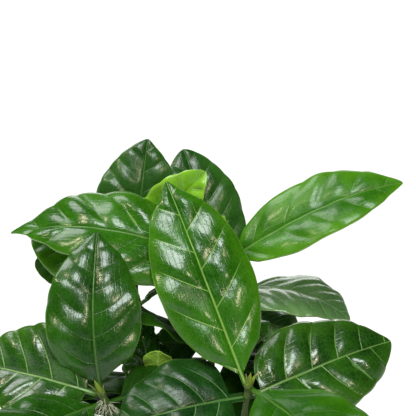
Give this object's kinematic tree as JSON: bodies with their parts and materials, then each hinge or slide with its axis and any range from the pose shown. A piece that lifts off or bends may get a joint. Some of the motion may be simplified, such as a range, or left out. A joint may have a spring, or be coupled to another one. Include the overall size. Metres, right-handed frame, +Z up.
{
  "type": "potted coffee plant",
  "caption": "Young coffee plants with glossy, arched leaves in opposite pairs, growing from soil in a plain round nursery pot.",
  "frame": {"origin": "centre of the pot's flat underside", "axes": "+Z up along the pot's axis, -Y towards the plant's front as the picture shows it"},
  "size_m": [0.2294, 0.2109, 0.3008],
  "materials": {
    "young_leaf": "glossy lime green",
    "bright_leaf": "glossy mid green",
    "mature_leaf": "glossy dark green",
    "old_leaf": "satin blackish green",
    "stem": "matt green-brown",
    "soil": "matt crumbly brown",
    "pot": "matt terracotta-coloured plastic"
  },
  "bodies": {
    "root": {"leaf_left_134_a": "old_leaf", "leaf_left_134_b": "old_leaf", "leaf_left_171_a": "old_leaf", "leaf_left_171_b": "old_leaf", "leaf_left_front": "mature_leaf", "leaf_left_in": "old_leaf", "leaf_left_out": "mature_leaf", "leaf_left_upright": "mature_leaf", "leaf_middle_150_a": "old_leaf", "leaf_middle_150_b": "old_leaf", "leaf_middle_curled": "young_leaf", "leaf_middle_upright": "mature_leaf", "leaf_rear_left_156_a": "old_leaf", "leaf_rear_left_156_b": "old_leaf", "leaf_rear_left_182_a": "old_leaf", "leaf_rear_left_182_b": "old_leaf", "leaf_rear_left_218_a": "mature_leaf", "leaf_rear_left_218_b": "mature_leaf", "leaf_rear_left_low": "old_leaf", "leaf_rear_left_out": "bright_leaf", "leaf_rear_left_upright": "mature_leaf", "leaf_rear_left_young": "young_leaf", "leaf_rear_right_158_a": "old_leaf", "leaf_rear_right_158_b": "old_leaf", "leaf_rear_right_190_a": "old_leaf", "leaf_rear_right_190_b": "old_leaf", "leaf_rear_right_214_a": "mature_leaf", "leaf_rear_right_214_b": "mature_leaf", "leaf_rear_right_low": "bright_leaf", "leaf_rear_right_out": "bright_leaf", "leaf_rear_right_upright": "mature_leaf", "leaf_right_134_a": "old_leaf", "leaf_right_134_b": "old_leaf", "leaf_right_160_a": "old_leaf", "leaf_right_160_b": "old_leaf", "leaf_right_across": "old_leaf", "leaf_right_front": "bright_leaf", "leaf_right_out": "mature_leaf", "leaf_right_upright": "bright_leaf", "leaf_side_150_a": "old_leaf", "leaf_side_150_b": "old_leaf", "leaf_side_168_a": "mature_leaf", "leaf_side_168_b": "mature_leaf", "leaf_tall_198_a": "old_leaf", "leaf_tall_198_b": "old_leaf", "leaf_tall_224_a": "mature_leaf", "leaf_tall_224_b": "mature_leaf", "leaf_tall_bud": "young_leaf", "leaf_tall_left": "bright_leaf", "leaf_tall_low": "old_leaf", "leaf_tall_right": "bright_leaf", "pot": "pot", "soil": "soil", "stem_left": "stem", "stem_middle": "stem", "stem_rear_left": "stem", "stem_rear_right": "stem", "stem_right": "stem", "stem_side": "stem", "stem_tall": "stem"}
  },
  "joints": []
}
